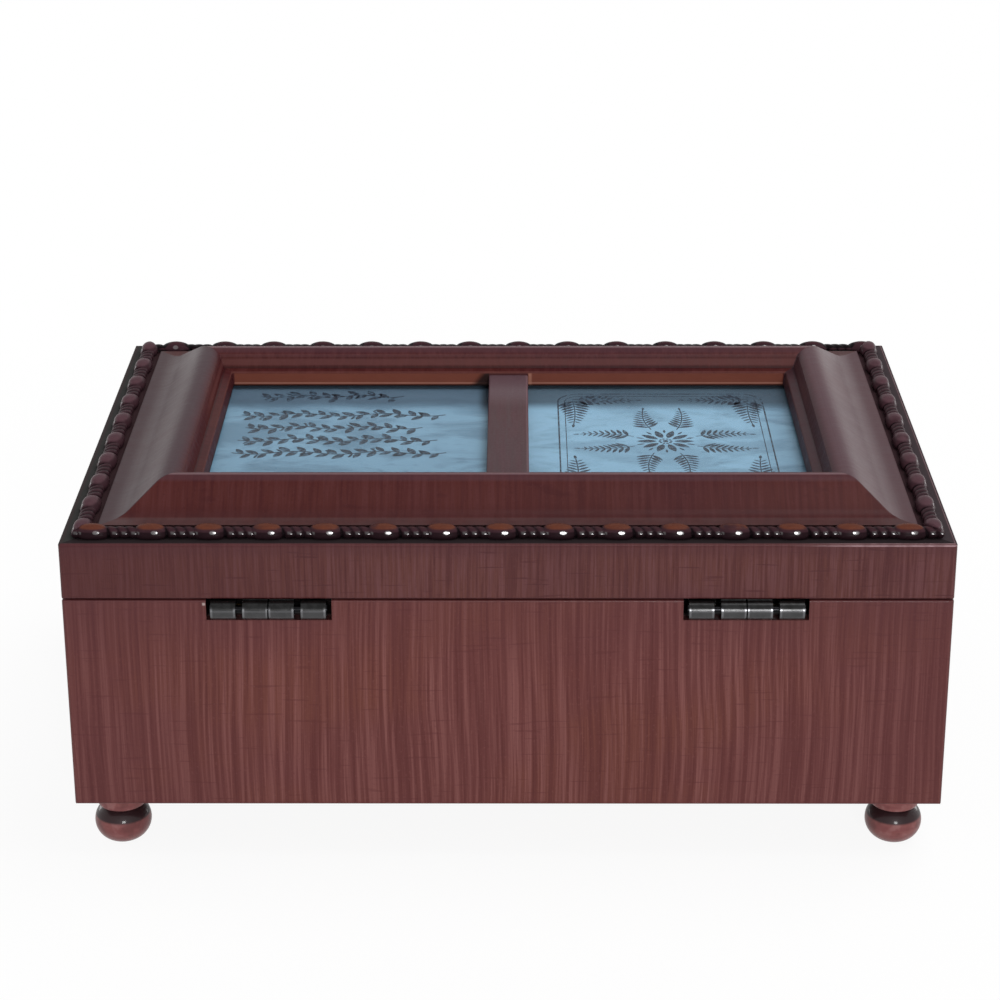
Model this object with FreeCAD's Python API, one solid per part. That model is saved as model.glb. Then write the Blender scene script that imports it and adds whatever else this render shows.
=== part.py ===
import FreeCAD, Part
import math
import os

# A keepsake box on four bun feet, with a glazed picture-frame lid on two barrel hinges.
# Millimetres. X runs along the box, -Y is the front, +Y the hinge side and +Z is up.
# The origin is under the middle of the whole box, on the surface that it stands on.

# Body
body_width = 254.0
body_depth = 165.0
wall_height = 66.0
wall_thickness = 11.0
panel_thickness = 5.0
panel_lap = 5.0            # width of the bottom panel's seat in each wall
arris_radius = 0.6         # rounding of the long outer edges
corner_radius = 1.0        # rounding of the upright corners

# Feet
foot_inset = 12.0          # from the outer faces to the foot's axis
foot_collar_radius = 7.3
foot_collar_height = 5.8
foot_collar_round = 1.2
foot_neck_radius = 5.4     # where the bun meets the collar
foot_bun_radius = 8.4
foot_bun_round = 6.3       # radius of the arc that forms the bun
foot_spigot_radius = 4.0
spigot_fit = 0.05          # glue line round the spigot
spigot_end_gap = 0.3

# Linings
floor_lining_thickness = 1.5
wall_lining_thickness = 1.2
lid_lining_thickness = 1.6
lining_gap = 0.2           # between a lining and what it covers
lining_drop = 3.0          # from the top of a wall down to its lining

# Lid rails
seam_gap = 0.4             # between the closed lid and the body
rail_height = 17.1

# Rope trim on the rails
rim_margin = 3.0           # bare strip of rail outside the rope
rope_radius = 2.5
rope_lift = 1.25           # the rope's axis above the rail
rope_seat = 0.1            # how far the thin part of the rope is cut flat by the rail
rope_pitch = 16.55         # from one large bead to the next
rope_bead_length = 8.4
rope_rib_depth = 0.2       # small beads above the thin part
rope_small_count = 3       # small beads between two large ones
rope_front_shift = -3.5    # nearest large bead from the middle of the front
rope_rear_shift = -2.0     # the same at the back, seen from behind
rope_moulding_gap = 2.0

# Moulding, from its outer foot to the glass
foot_rise = 1.5
foot_flat = 3.5
ogee_run = 15.0
cove_radius = 7.2
crown_rise = 9.7           # crown above the rails
crown_radius = 5.6
nose_radius = 5.6
nose_turn = 41.0           # degrees of arc from the crown to the inner wall
inner_wall_run = 1.6       # how far the inner wall leans in on its way to the ledge
ledge_rise = 4.25
ledge_width = 2.8
ledge_fall = 0.35          # the ledge slopes down toward the glass
ledge_round = 0.7
bevel_run = 0.5
glass_drop = 0.7           # top of the glass below the top of the rails
lip_width = 3.5            # how far the moulding covers the glass

# Glazing
glass_thickness = 1.2
card_thickness = 0.4
backing_thickness = 3.0
glazing_fit = 0.3          # between a pane, card or board and the rabbet
muntin_width = 12.7
muntin_rise = 2.8          # above the rails
muntin_round = 0.6
muntin_tongue = 4.0        # part that parts the two panes

# Hinges
hinge_inset = 59.0         # from the end of the box to the middle of a hinge
barrel_radius = 2.9
knuckle_length = 7.1
knuckle_wide_gap = 2.0     # between an outer and an inner knuckle
knuckle_narrow_gap = 0.4   # between the two inner knuckles
running_gap = 0.3          # between a barrel and what turns past it
leaf_thickness = 1.0
leaf_margin = 2.0          # wood left between a leaf and the inside of its wall
pin_radius = 1.2
pin_clearance = 0.05
pin_head_radius = 2.0
pin_head_length = 0.35
mortise_end_gap = 1.5
mortise_back_gap = 0.3
barrel_relief = 0.5        # extra depth of the mortise under the barrel

# Hinge screws
screw_spacing = 20.0
screw_radius = 1.1
screw_length = 9.0
screw_head_radius = 1.9
screw_tip_length = 2.0
screw_fit = 0.05
screw_slot_width = 0.5
screw_slot_depth = 0.35

# The foot: its bun is an arc turned about the foot's axis, flat inside the arc's centre
bun_ring = foot_bun_radius - foot_bun_round
neck_drop = math.sqrt(foot_bun_round ** 2 - (foot_neck_radius - bun_ring) ** 2)
foot_height = foot_collar_height + neck_drop + foot_bun_round

# Levels, from the ground up
seam_z = foot_height + wall_height
panel_top = foot_height + panel_thickness
floor_top = panel_top + lining_gap + floor_lining_thickness
lid_base = seam_z + seam_gap
rail_top = lid_base + rail_height
glass_top = rail_top - glass_drop
card_top = glass_top - glass_thickness
backing_top = card_top - card_thickness
lid_underside = backing_top - backing_thickness
crown_z = rail_top + crown_rise
ledge_z = rail_top + ledge_rise
ledge_end_z = ledge_z - ledge_fall
rope_z = rail_top + rope_lift
muntin_top = rail_top + muntin_rise

# Places in plan; a place "in" is a distance from the outer face of a side
middle_y = -barrel_radius / 2.0
rear_y = middle_y + body_depth / 2.0
rope_in = rim_margin + rope_radius
rope_core_radius = rope_lift + rope_seat
rope_small_radius = rope_core_radius + rope_rib_depth
moulding_in = rim_margin + 2.0 * rope_radius + rope_moulding_gap
cove_in = moulding_in + foot_flat
crown_in = cove_in + ogee_run
nose_in = crown_in + nose_radius * math.sin(math.radians(nose_turn))
ledge_in = nose_in + inner_wall_run
bevel_in = ledge_in + ledge_width
sight_in = bevel_in + bevel_run
rabbet_in = sight_in - lip_width

# Hinge line
axis_y = rear_y
axis_z = lid_base - barrel_radius - running_gap
leaf_back_y = rear_y - wall_thickness + leaf_margin
leaf_front_y = axis_y - barrel_radius - running_gap
screw_y = (leaf_back_y + leaf_front_y) / 2.0
inner_knuckle = knuckle_narrow_gap / 2.0
outer_knuckle = inner_knuckle + knuckle_length + knuckle_wide_gap
hinge_length = 2.0 * (outer_knuckle + knuckle_length)
mortise_floor = axis_z - barrel_radius

side_turns = {"front": 0.0, "right": 90.0, "rear": 180.0, "left": 270.0}
hinge_middles = {"left": hinge_inset - body_width / 2.0, "right": body_width / 2.0 - hinge_inset}

along_x = FreeCAD.Vector(1, 0, 0)
along_y = FreeCAD.Vector(0, 1, 0)
along_z = FreeCAD.Vector(0, 0, 1)
spare = 1.0                # how far a cutting block stands past the wood


def block(x0, x1, y0, y1, z0, z1):
    return Part.makeBox(x1 - x0, y1 - y0, z1 - z0, FreeCAD.Vector(x0, y0, z0))


def section_point(inward, height):
    """A point of a side's cross-section: how far in from the outer face, and how high."""
    return FreeCAD.Vector(0, inward, height)


def closed_face(start, steps):
    """A face whose outline runs from start: a step (end) is a line, (middle, end) an arc."""
    edges = []
    here = start
    for step in steps:
        if len(step) == 1:
            edges.append(Part.LineSegment(here, step[0]).toShape())
        else:
            edges.append(Part.Arc(here, step[0], step[1]).toShape())
        here = step[-1]
    edges.append(Part.LineSegment(here, start).toShape())
    return Part.Face(Part.Wire(edges))


def round_step(centre_in, centre_z, radius, first_degrees, last_degrees):
    """An arc step about a centre in the cross-section; 0 degrees points inward, 90 up."""
    points = []
    for degrees in ((first_degrees + last_degrees) / 2.0, last_degrees):
        angle = math.radians(degrees)
        points.append(section_point(centre_in + radius * math.cos(angle),
                                    centre_z + radius * math.sin(angle)))
    return tuple(points)


def side_length(side):
    return body_width if side in ("front", "rear") else body_depth


def side_reach(side):
    return body_depth if side in ("front", "rear") else body_width


def mitred(bar, side):
    """Cuts a bar's ends at 45 degrees to the corners and puts it on its side of the box."""
    limits = bar.BoundBox
    half = side_length(side) / 2.0
    deep = limits.YMax + spare
    low = limits.ZMin - spare
    corners = [(-half, 0.0), (half, 0.0), (half - deep, deep), (deep - half, deep), (-half, 0.0)]
    plan = Part.makePolygon([FreeCAD.Vector(x, y, low) for x, y in corners])
    wedge = Part.Face(plan).extrude(along_z * (limits.ZMax + spare - low))
    piece = bar.common(wedge)
    piece.translate(along_y * (-side_reach(side) / 2.0))
    piece.rotate(FreeCAD.Vector(0, 0, 0), along_z, side_turns[side])
    piece.translate(along_y * middle_y)
    return piece


def mitred_board(section, side):
    bar = section.extrude(along_x * side_length(side))
    bar.translate(along_x * (-side_length(side) / 2.0))
    return mitred(bar, side)


def cylinder_x(radius, x0, x1):
    """A cylinder on the hinge line."""
    return Part.makeCylinder(radius, x1 - x0, FreeCAD.Vector(x0, axis_y, axis_z), along_x)


def foot_places():
    """Each foot's name and the place of its axis."""
    reach_x = body_width / 2.0 - foot_inset
    reach_y = body_depth / 2.0 - foot_inset
    places = {}
    for end, y in (("front", middle_y - reach_y), ("rear", middle_y + reach_y)):
        places[f"foot_{end}_left"] = (-reach_x, y)
        places[f"foot_{end}_right"] = (reach_x, y)
    return places


def spigot_holes():
    radius = foot_spigot_radius + spigot_fit
    holes = [Part.makeCylinder(radius, spare + panel_thickness,
                               FreeCAD.Vector(x, y, foot_height - spare))
             for x, y in foot_places().values()]
    return Part.makeCompound(holes)


def foot(place):
    """A turned foot: spigot, collar and bun, drawn as half a section and turned round."""
    base = foot_height - foot_collar_height
    spigot_top = panel_top - spigot_end_gap
    collar_edge = foot_collar_radius - foot_collar_round
    steps = [
        (section_point(foot_spigot_radius, spigot_top),),
        (section_point(foot_spigot_radius, foot_height),),
        (section_point(foot_collar_radius, foot_height),),
        (section_point(foot_collar_radius, base + foot_collar_round),),
        round_step(collar_edge, base + foot_collar_round, foot_collar_round, 0.0, -90.0),
        (section_point(foot_neck_radius, base),),
        (section_point(foot_bun_radius, foot_bun_round), section_point(bun_ring, 0.0)),
        (section_point(0.0, 0.0),),
    ]
    half = closed_face(section_point(0.0, spigot_top), steps)
    turned = half.revolve(FreeCAD.Vector(0, 0, 0), along_z, 360.0)
    turned.translate(FreeCAD.Vector(place[0], place[1], 0))
    return turned


def outer_edge(low, high):
    """The outer face of a board with its two long edges rounded, from bottom to top."""
    return [
        round_step(arris_radius, low + arris_radius, arris_radius, 270.0, 180.0),
        (section_point(0.0, high - arris_radius),),
        round_step(arris_radius, high - arris_radius, arris_radius, 180.0, 90.0),
    ]


def wall_section():
    seat_in = wall_thickness - panel_lap
    steps = outer_edge(foot_height, seam_z) + [
        (section_point(wall_thickness, seam_z),),
        (section_point(wall_thickness, panel_top),),
        (section_point(seat_in, panel_top),),
        (section_point(seat_in, foot_height),),
    ]
    return closed_face(section_point(arris_radius, foot_height), steps)


def mortises():
    """The two pockets in the back wall that hold the hinges, and their screw holes."""
    cuts = []
    half = hinge_length / 2.0 + mortise_end_gap
    relief_floor = mortise_floor - barrel_relief
    for x in hinge_middles.values():
        cuts.append(block(x - half, x + half, leaf_back_y - mortise_back_gap, rear_y + spare,
                          mortise_floor, seam_z + spare))
        cuts.append(block(x - half, x + half, leaf_front_y, rear_y + spare,
                          relief_floor, seam_z))
        for screw_x in screw_places(x):
            cuts.append(screw_hole(screw_x, mortise_floor, -1.0))
    return Part.makeCompound(cuts)


def eased_corners(low, high):
    """A block as large as the box in plan, with its four upright edges rounded."""
    half_x = body_width / 2.0
    half_y = body_depth / 2.0
    limits = block(-half_x, half_x, middle_y - half_y, middle_y + half_y, low, high)
    upright = [edge for edge in limits.Edges if edge.BoundBox.ZLength > (high - low) / 2.0]
    return limits.makeFillet(corner_radius, upright)


def wall(side):
    board = mitred_board(wall_section(), side).common(eased_corners(foot_height, seam_z))
    board = board.cut(spigot_holes())
    return board.cut(mortises()) if side == "rear" else board


def bottom_panel():
    seat = wall_thickness - panel_lap
    half_x = body_width / 2.0 - seat
    half_y = body_depth / 2.0 - seat
    panel = block(-half_x, half_x, middle_y - half_y, middle_y + half_y, foot_height, panel_top)
    return panel.cut(spigot_holes())


def inner_block(inset, low, high):
    """A block as wide and deep as the inside of the walls, less an inset all round."""
    half_x = body_width / 2.0 - wall_thickness - inset
    half_y = body_depth / 2.0 - wall_thickness - inset
    return block(-half_x, half_x, middle_y - half_y, middle_y + half_y, low, high)


def floor_lining():
    return inner_block(lining_gap, panel_top + lining_gap, floor_top)


def wall_lining(side):
    """A strip on the inside of one wall; the end strips fit between the long ones."""
    near = wall_thickness + lining_gap
    far = near + wall_lining_thickness
    ends = near if side in ("front", "rear") else far + lining_gap
    half = side_length(side) / 2.0 - ends
    strip = block(-half, half, near, far, floor_top + lining_gap, seam_z - lining_drop)
    strip.translate(along_y * (-side_reach(side) / 2.0))
    strip.rotate(FreeCAD.Vector(0, 0, 0), along_z, side_turns[side])
    strip.translate(along_y * middle_y)
    return strip


def screw_places(hinge_x):
    return (hinge_x - screw_spacing / 2.0, hinge_x + screw_spacing / 2.0)


def screw_hole(x, wood_z, way):
    """The hole for a screw's shank, from the face of the wood; way is -1 down, 1 up."""
    depth = screw_length - leaf_thickness + screw_fit
    return Part.makeCylinder(screw_radius + screw_fit, depth,
                             FreeCAD.Vector(x, screw_y, wood_z), along_z * way)


def screw(x, head_z, way):
    """A countersunk screw with its head flush at head_z; way is -1 down, 1 up."""
    steps = [
        (section_point(screw_head_radius, 0.0),),
        (section_point(screw_radius, leaf_thickness),),
        (section_point(screw_radius, screw_length - screw_tip_length),),
        (section_point(0.0, screw_length),),
    ]
    solid = closed_face(section_point(0.0, 0.0), steps).revolve(
        FreeCAD.Vector(0, 0, 0), along_z, 360.0)
    slot = block(-screw_head_radius, screw_head_radius, -screw_slot_width / 2.0,
                 screw_slot_width / 2.0, 0.0, screw_slot_depth)
    solid = solid.cut(slot)
    if way < 0.0:
        solid.rotate(FreeCAD.Vector(0, 0, 0), along_x, 180.0)
    solid.translate(FreeCAD.Vector(x, screw_y, head_z))
    return solid


def countersink(x, head_z, way):
    """The cone that a screw's head takes out of a leaf."""
    return Part.makeCone(screw_head_radius + screw_fit, screw_radius + screw_fit, leaf_thickness,
                         FreeCAD.Vector(x, screw_y, head_z), along_z * way)


def hinge_leaf(hinge_x, plate_low, knuckle_start, head_z, way):
    """A leaf with two knuckles, each knuckle_start from the middle of the hinge."""
    plate_high = plate_low + leaf_thickness
    half = hinge_length / 2.0
    leaf = block(hinge_x - half, hinge_x + half, leaf_back_y, leaf_front_y, plate_low, plate_high)
    for end in (-1.0, 1.0):
        edges = (hinge_x + end * knuckle_start, hinge_x + end * (knuckle_start + knuckle_length))
        tab = block(min(edges), max(edges), leaf_front_y, axis_y, plate_low, plate_high)
        leaf = leaf.fuse([tab, cylinder_x(barrel_radius, min(edges), max(edges))])
    leaf = leaf.cut(cylinder_x(pin_radius + pin_clearance, hinge_x - half, hinge_x + half))
    for x in screw_places(hinge_x):
        leaf = leaf.cut(countersink(x, head_z, way))
    return leaf.removeSplitter()


def body_leaf(hinge_x):
    return hinge_leaf(hinge_x, mortise_floor, outer_knuckle, mortise_floor + leaf_thickness, -1.0)


def lid_leaf(hinge_x):
    low = lid_base - leaf_thickness
    return hinge_leaf(hinge_x, low, inner_knuckle, low, 1.0)


def hinge_pin(hinge_x):
    """The pin, with a peened head past each end of the barrel."""
    half = hinge_length / 2.0
    parts = [cylinder_x(pin_head_radius, hinge_x - half - pin_head_length, hinge_x - half),
             cylinder_x(pin_head_radius, hinge_x + half, hinge_x + half + pin_head_length)]
    pin = cylinder_x(pin_radius, hinge_x - half, hinge_x + half)
    return pin.fuse(parts).removeSplitter()


def hinge_screws(head_z, way):
    return Part.makeCompound([screw(x, head_z, way) for hinge_x in hinge_middles.values()
                              for x in screw_places(hinge_x)])


def rail_section():
    steps = outer_edge(lid_base, rail_top) + [
        (section_point(wall_thickness, rail_top),),
        (section_point(wall_thickness, lid_base),),
    ]
    return closed_face(section_point(arris_radius, lid_base), steps)


def lid_rail(side):
    rail = mitred_board(rail_section(), side).common(eased_corners(lid_base, rail_top))
    if side != "rear":
        return rail
    holes = [screw_hole(x, lid_base, 1.0) for hinge_x in hinge_middles.values()
             for x in screw_places(hinge_x)]
    return rail.cut(Part.makeCompound(holes))


def ogee_slope():
    """The angle of the straight run that touches both the cove and the crown."""
    across = crown_in - cove_in
    up = (crown_z - crown_radius) - (rail_top + foot_rise + cove_radius)
    return math.atan2(up, across) + math.asin((cove_radius + crown_radius)
                                              / math.hypot(across, up))


def moulding_section():
    """Foot, cove, crown, nose, inner wall, ledge and bevel, then the rabbet for the glass."""
    slope = math.degrees(ogee_slope())
    foot_z = rail_top + foot_rise
    cove_z = foot_z + cove_radius
    crown_start = 90.0 + slope
    run_end = section_point(
        crown_in + crown_radius * math.cos(math.radians(crown_start)),
        crown_z - crown_radius + crown_radius * math.sin(math.radians(crown_start)))
    steps = [
        (section_point(moulding_in, foot_z),),
        (section_point(cove_in, foot_z),),
        round_step(cove_in, cove_z, cove_radius, -90.0, slope - 90.0),
        (run_end,),
        round_step(crown_in, crown_z - crown_radius, crown_radius, crown_start, 90.0),
        round_step(crown_in, crown_z - nose_radius, nose_radius, 90.0, 90.0 - nose_turn),
        (section_point(ledge_in, ledge_z),),
        (section_point(bevel_in - ledge_round, ledge_end_z),),
        round_step(bevel_in - ledge_round, ledge_end_z - ledge_round, ledge_round, 90.0, 0.0),
        (section_point(sight_in, glass_top),),
        (section_point(rabbet_in, glass_top),),
        (section_point(rabbet_in, lid_underside),),
        (section_point(wall_thickness, lid_underside),),
        (section_point(wall_thickness, rail_top),),
    ]
    return closed_face(section_point(moulding_in, rail_top), steps)


def moulding(side):
    return mitred_board(moulding_section(), side)


def rope_shift(side):
    """From the middle of a side to the large bead nearest to it; the short sides are even."""
    if side == "front":
        return rope_front_shift
    return rope_rear_shift if side == "rear" else rope_pitch / 2.0


def rope(side):
    """Round trim of large beads with small ones between, flat where it lies on the rail."""
    shift = rope_shift(side)
    half = side_length(side) / 2.0
    small_length = (rope_pitch - rope_bead_length) / rope_small_count
    beads = [(rope_bead_length, rope_radius)]
    beads += [(small_length, rope_small_radius)] * rope_small_count
    repeats = math.ceil((half + shift) / rope_pitch) + 1
    x = shift - rope_bead_length / 2.0 - repeats * rope_pitch
    start = FreeCAD.Vector(x, rope_in, rope_z)
    steps = [(FreeCAD.Vector(x, rope_in + rope_core_radius, rope_z),)]
    while x < half + spare:
        for length, radius in beads:
            middle = FreeCAD.Vector(x + length / 2.0, rope_in + radius, rope_z)
            x += length
            steps.append((middle, FreeCAD.Vector(x, rope_in + rope_core_radius, rope_z)))
    steps.append((FreeCAD.Vector(x, rope_in, rope_z),))
    strip = closed_face(start, steps).revolve(start, along_x, 360.0)
    above = block(start.x, x, 0.0, moulding_in, rail_top, rope_z + rope_radius + spare)
    return mitred(strip.common(above), side)


def muntin():
    """The bar between the panes, with bevelled ends that meet the moulding's bevel."""
    half = muntin_width / 2.0
    tongue = muntin_tongue / 2.0
    edge = half - muntin_round
    shoulder = muntin_top - muntin_round
    turn = muntin_round * math.sqrt(0.5)
    steps = [
        (FreeCAD.Vector(half, 0, shoulder),),
        (FreeCAD.Vector(edge + turn, 0, shoulder + turn), FreeCAD.Vector(edge, 0, muntin_top)),
        (FreeCAD.Vector(-edge, 0, muntin_top),),
        (FreeCAD.Vector(-edge - turn, 0, shoulder + turn), FreeCAD.Vector(-half, 0, shoulder)),
        (FreeCAD.Vector(-half, 0, glass_top),),
        (FreeCAD.Vector(-tongue, 0, glass_top),),
        (FreeCAD.Vector(-tongue, 0, backing_top),),
        (FreeCAD.Vector(tongue, 0, backing_top),),
        (FreeCAD.Vector(tongue, 0, glass_top),),
    ]
    section = closed_face(FreeCAD.Vector(half, 0, glass_top), steps)
    bar = section.extrude(along_y * body_depth)
    bar.translate(along_y * (middle_y - body_depth / 2.0))
    low_half = body_depth / 2.0 - sight_in
    bevel_rise = ledge_end_z - ledge_round - glass_top
    high_half = low_half + bevel_run * muntin_height_share(bevel_rise)
    outline = [(-low_half, glass_top), (-high_half, muntin_top), (high_half, muntin_top),
               (low_half, glass_top)]
    corners = [(-low_half, backing_top)] + outline + [(low_half, backing_top),
                                                      (-low_half, backing_top)]
    plan = Part.makePolygon([FreeCAD.Vector(-body_width / 2.0, middle_y + y, z)
                             for y, z in corners])
    return bar.common(Part.Face(plan).extrude(along_x * body_width))


def muntin_height_share(bevel_rise):
    """How much of the bevel's rise lies beside the muntin."""
    return (muntin_top - glass_top) / bevel_rise


def pane_block(side, low, high):
    """A pane or card: from the muntin's tongue to the rabbet, with a fit all round."""
    near = muntin_tongue / 2.0 + glazing_fit
    far = body_width / 2.0 - rabbet_in - glazing_fit
    half_y = body_depth / 2.0 - rabbet_in - glazing_fit
    x0, x1 = (-far, -near) if side == "left" else (near, far)
    return block(x0, x1, middle_y - half_y, middle_y + half_y, low, high)


def backing_board():
    inset = rabbet_in - wall_thickness + glazing_fit
    return inner_block(inset, lid_underside, backing_top)


def lid_lining():
    return inner_block(lining_gap, lid_underside - lining_gap - lid_lining_thickness,
                       lid_underside - lining_gap)


def make_pieces():
    pieces = {"bottom_panel": bottom_panel(), "floor_lining": floor_lining()}
    for name, place in foot_places().items():
        pieces[name] = foot(place)
    for side in side_turns:
        pieces[f"{side}_wall"] = wall(side)
        pieces[f"{side}_wall_lining"] = wall_lining(side)
        pieces[f"lid_{side}_rail"] = lid_rail(side)
        pieces[f"{side}_moulding"] = moulding(side)
        pieces[f"{side}_rope_trim"] = rope(side)
    for side in ("left", "right"):
        pieces[f"{side}_glass"] = pane_block(side, card_top, glass_top)
        pieces[f"{side}_card"] = pane_block(side, backing_top, card_top)
        pieces[f"{side}_hinge_body_leaf"] = body_leaf(hinge_middles[side])
        pieces[f"{side}_hinge_lid_leaf"] = lid_leaf(hinge_middles[side])
        pieces[f"{side}_hinge_pin"] = hinge_pin(hinge_middles[side])
    pieces["centre_muntin"] = muntin()
    pieces["backing_board"] = backing_board()
    pieces["lid_lining"] = lid_lining()
    pieces["body_hinge_screws"] = hinge_screws(mortise_floor + leaf_thickness, -1.0)
    pieces["lid_hinge_screws"] = hinge_screws(lid_base - leaf_thickness, 1.0)
    return pieces


def main():
    os.makedirs("parts", exist_ok=True)
    for name, shape in make_pieces().items():
        shape.exportStep(os.path.join("parts", name + ".step"))
        print(name, len(shape.Solids), round(shape.Volume, 1), shape.isValid())


main()
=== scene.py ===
"""A keepsake box with a hinged picture-frame lid: finishes, trim, printed cards, linings and stage."""

import math
import random

import bmesh
import bpy
from mathutils import Matrix, Vector


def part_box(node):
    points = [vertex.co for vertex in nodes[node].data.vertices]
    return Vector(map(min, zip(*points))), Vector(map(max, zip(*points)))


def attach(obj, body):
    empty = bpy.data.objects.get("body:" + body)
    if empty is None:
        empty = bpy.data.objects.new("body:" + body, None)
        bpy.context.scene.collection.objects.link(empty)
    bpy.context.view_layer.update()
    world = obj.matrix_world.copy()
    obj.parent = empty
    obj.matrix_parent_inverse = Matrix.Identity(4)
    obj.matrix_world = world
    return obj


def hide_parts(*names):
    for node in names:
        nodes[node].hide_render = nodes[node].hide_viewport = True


bl_info = {
    "name": "Keepsake Box",
    "version": (1, 0, 0),
    "blender": (4, 5, 0),
    "location": "View3D > Sidebar > Keepsake",
    "description": "Finishes and soft pieces of a keepsake box with a glazed, hinged lid",
    "category": "Object",
}

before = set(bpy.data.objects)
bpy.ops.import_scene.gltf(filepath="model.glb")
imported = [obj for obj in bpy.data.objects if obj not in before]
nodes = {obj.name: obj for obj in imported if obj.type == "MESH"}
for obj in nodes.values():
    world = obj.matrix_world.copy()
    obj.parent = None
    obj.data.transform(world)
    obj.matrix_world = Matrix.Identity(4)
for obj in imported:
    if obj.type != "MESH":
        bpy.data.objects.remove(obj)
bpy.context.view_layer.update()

MM = 0.001
HAIR = 0.01 * MM  # too small a length to see
SIDES = ("front", "right", "rear", "left")
HANDS = ("left", "right")

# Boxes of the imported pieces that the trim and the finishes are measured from
WALL_LOW, WALL_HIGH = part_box("rear_wall")
RAIL_LOW, RAIL_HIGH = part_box("lid_rear_rail")
MOULDING_LOW, MOULDING_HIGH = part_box("rear_moulding")
ROPE_LOW, ROPE_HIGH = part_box("rear_rope_trim")
PIN_LOW, PIN_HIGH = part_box("right_hinge_pin")

# Levels and places in the frame. A name that ends in IN is measured inward from the outer faces.
HALF_WIDTH = WALL_HIGH.x
REAR_Y = WALL_HIGH.y
FRONT_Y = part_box("front_wall")[0].y
MIDDLE_Y = (REAR_Y + FRONT_Y) / 2.0
HALF_DEPTH = (REAR_Y - FRONT_Y) / 2.0
FOOT_TOP = WALL_LOW.z
SEAM_Z = WALL_HIGH.z
LID_BASE = RAIL_LOW.z
RAIL_TOP = RAIL_HIGH.z
CROWN_Z = MOULDING_HIGH.z
ROPE_RADIUS = (ROPE_HIGH.y - ROPE_LOW.y) / 2.0
ROPE_IN = REAR_Y - ROPE_HIGH.y + ROPE_RADIUS
ROPE_Z = ROPE_HIGH.z - ROPE_RADIUS
AXIS_Z = (PIN_LOW.z + PIN_HIGH.z) / 2.0
HINGE_X = (PIN_LOW.x + PIN_HIGH.x) / 2.0
HINGE_HALF = (PIN_HIGH.x - PIN_LOW.x) / 2.0
FOOT_IN = REAR_Y - MOULDING_HIGH.y
SIGHT_IN = REAR_Y - MOULDING_LOW.y
CROWN_IN = SIGHT_IN - 8.57 * MM
NOSE_IN = SIGHT_IN - 4.9 * MM
LEDGE_IN = SIGHT_IN - 3.3 * MM
LEDGE_Z = RAIL_TOP + 4.25 * MM
GLASS_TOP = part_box("right_glass")[1].z
BAR_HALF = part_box("centre_muntin")[1].x


def tint(red, green, blue):
    """A colour given as 0 to 255 for the screen, as the linear values that a shader takes."""
    levels = []
    for level in (red, green, blue):
        share = level / 255.0
        levels.append(share / 12.92 if share <= 0.04045 else ((share + 0.055) / 1.055) ** 2.4)
    return tuple(levels)


# ---- Settings


def colour_setting(name, description, red, green, blue):
    return bpy.props.FloatVectorProperty(
        name=name, description=description, default=tint(red, green, blue), subtype="COLOR", size=3,
        min=0.0, max=1.0)


def number_setting(name, description, default, **more):
    return bpy.props.FloatProperty(name=name, description=description, default=default, **more)


def length_setting(name, description, default):
    return number_setting(name, description, default, subtype="DISTANCE", unit="LENGTH")


def share_setting(name, description, default):
    return number_setting(name, description, default, subtype="FACTOR", min=0.0, max=1.0)


def power_setting(name, description, default):
    return number_setting(name, description, default, unit="POWER", min=0.0)


def group_setting(name, description, group):
    return bpy.props.PointerProperty(name=name, description=description, type=group)


class KeepsakeWood(bpy.types.PropertyGroup):
    wall: colour_setting("Wall stain", "Main colour of the four walls", 94, 49, 47)
    wall_light: colour_setting("Wall streaks", "Pale brushed lines in the walls", 115, 70, 67)
    wall_dark: colour_setting("Wall lows", "Dark brushed lines in the walls", 78, 34, 33)
    wall_warm: colour_setting("Wall patches", "Browner patches in the walls", 99, 53, 43)
    rail: colour_setting("Rail stain", "Main colour of the lid's rails", 81, 44, 46)
    rail_light: colour_setting("Rail streaks", "Pale brushed lines in the rails", 93, 56, 58)
    rail_dark: colour_setting("Rail lows", "Dark brushed lines in the rails", 68, 31, 33)
    rail_warm: colour_setting("Rail patches", "Browner patches in the rails", 86, 47, 40)
    moulding: colour_setting("Moulding stain", "Main colour of the moulding", 64, 26, 28)
    moulding_light: colour_setting("Moulding streaks", "Pale lines in the moulding", 80, 42, 43)
    moulding_dark: colour_setting("Moulding lows", "Dark lines in the moulding", 52, 16, 20)
    moulding_warm: colour_setting("Moulding patches", "Browner patches in the moulding", 72, 32, 28)
    inner: colour_setting("Inner face", "Rubbed inner face of the front moulding", 109, 60, 48)
    # The brown on the tops of the back beads is a painted reflection
    rope: colour_setting("Rope stain", "Tops of the large beads at the back", 92, 51, 38)
    rope_side: colour_setting("Rope ends", "Tops of the large beads at the two ends", 80, 56, 62)
    rope_front: colour_setting("Rope front", "Tops of the large beads at the front", 62, 31, 37)
    rope_rib: colour_setting("Rope ribs", "Ribs between the beads", 64, 41, 47)
    rope_dark: colour_setting("Rope glaze", "Dark glaze in the hollows of the rope trim", 16, 9, 12)
    glaze: colour_setting("Rail glaze", "Dark glaze on the top of the rails", 27, 22, 24)
    foot: colour_setting("Foot stain", "Main colour of the turned feet", 112, 58, 58)
    # The dark colour in the neck of the feet is painted shade
    foot_dark: colour_setting("Foot glaze", "Dark glaze in the neck of the feet", 30, 16, 20)
    panel: colour_setting("Panel stain", "Bottom panel", 112, 78, 58)
    gloss: share_setting("Gloss", "How much clear lacquer lies on the wood", 0.06)


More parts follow.
